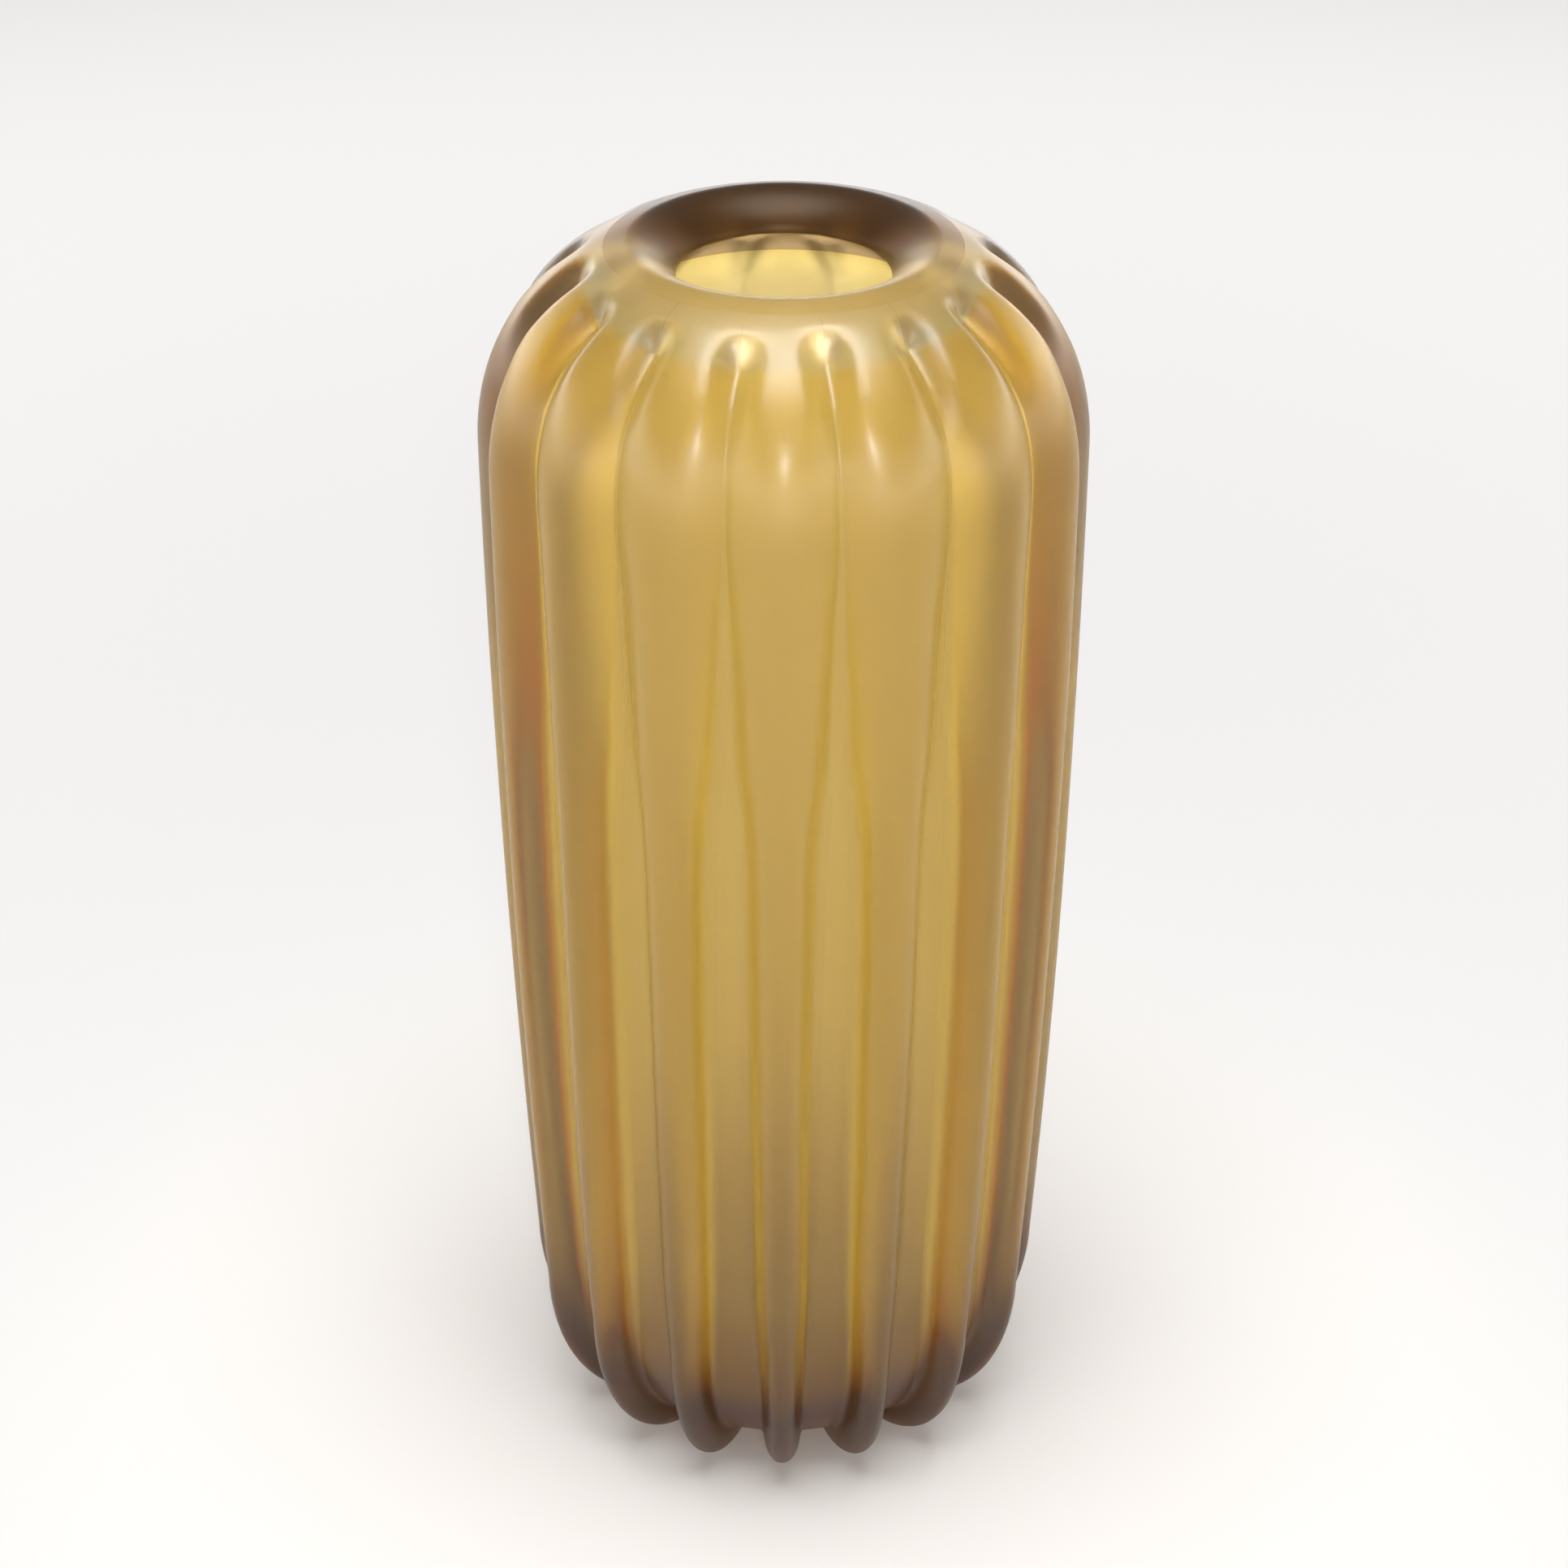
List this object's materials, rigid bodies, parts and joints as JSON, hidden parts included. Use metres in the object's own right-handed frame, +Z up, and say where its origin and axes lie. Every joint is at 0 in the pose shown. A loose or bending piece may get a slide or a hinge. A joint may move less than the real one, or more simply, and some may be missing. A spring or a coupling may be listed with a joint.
{
  "type": "vase",
  "caption": "Tall hand-blown vase in cased satin glass, with a rolled lip and deep vertical ribs that turn under to become its feet.",
  "frame": {"origin": "on the table plane, below the middle of the vase", "axes": "+Z up along the vase's axis, -Y towards the rib numbered first"},
  "size_m": [0.1642, 0.1642, 0.3705],
  "materials": {
    "smoke_glass": "acid-etched satin, smoky brown over amber",
    "rib_glass": "acid-etched satin, smoky brown",
    "amber_glass": "fire-polished inside, translucent amber",
    "base_glass": "satin, with a ground and polished hollow"
  },
  "bodies": {
    "root": {"mouth_collar": "smoke_glass", "smoke_casing": "smoke_glass", "amber_lining": "amber_glass", "base_pad": "base_glass", "rib_01": "rib_glass", "rib_02": "rib_glass", "rib_03": "rib_glass", "rib_04": "rib_glass", "rib_05": "rib_glass", "rib_06": "rib_glass", "rib_07": "rib_glass", "rib_08": "rib_glass", "rib_09": "rib_glass", "rib_10": "rib_glass", "rib_11": "rib_glass", "rib_12": "rib_glass", "rib_13": "rib_glass", "rib_14": "rib_glass", "rib_15": "rib_glass", "rib_16": "rib_glass"}
  },
  "joints": []
}
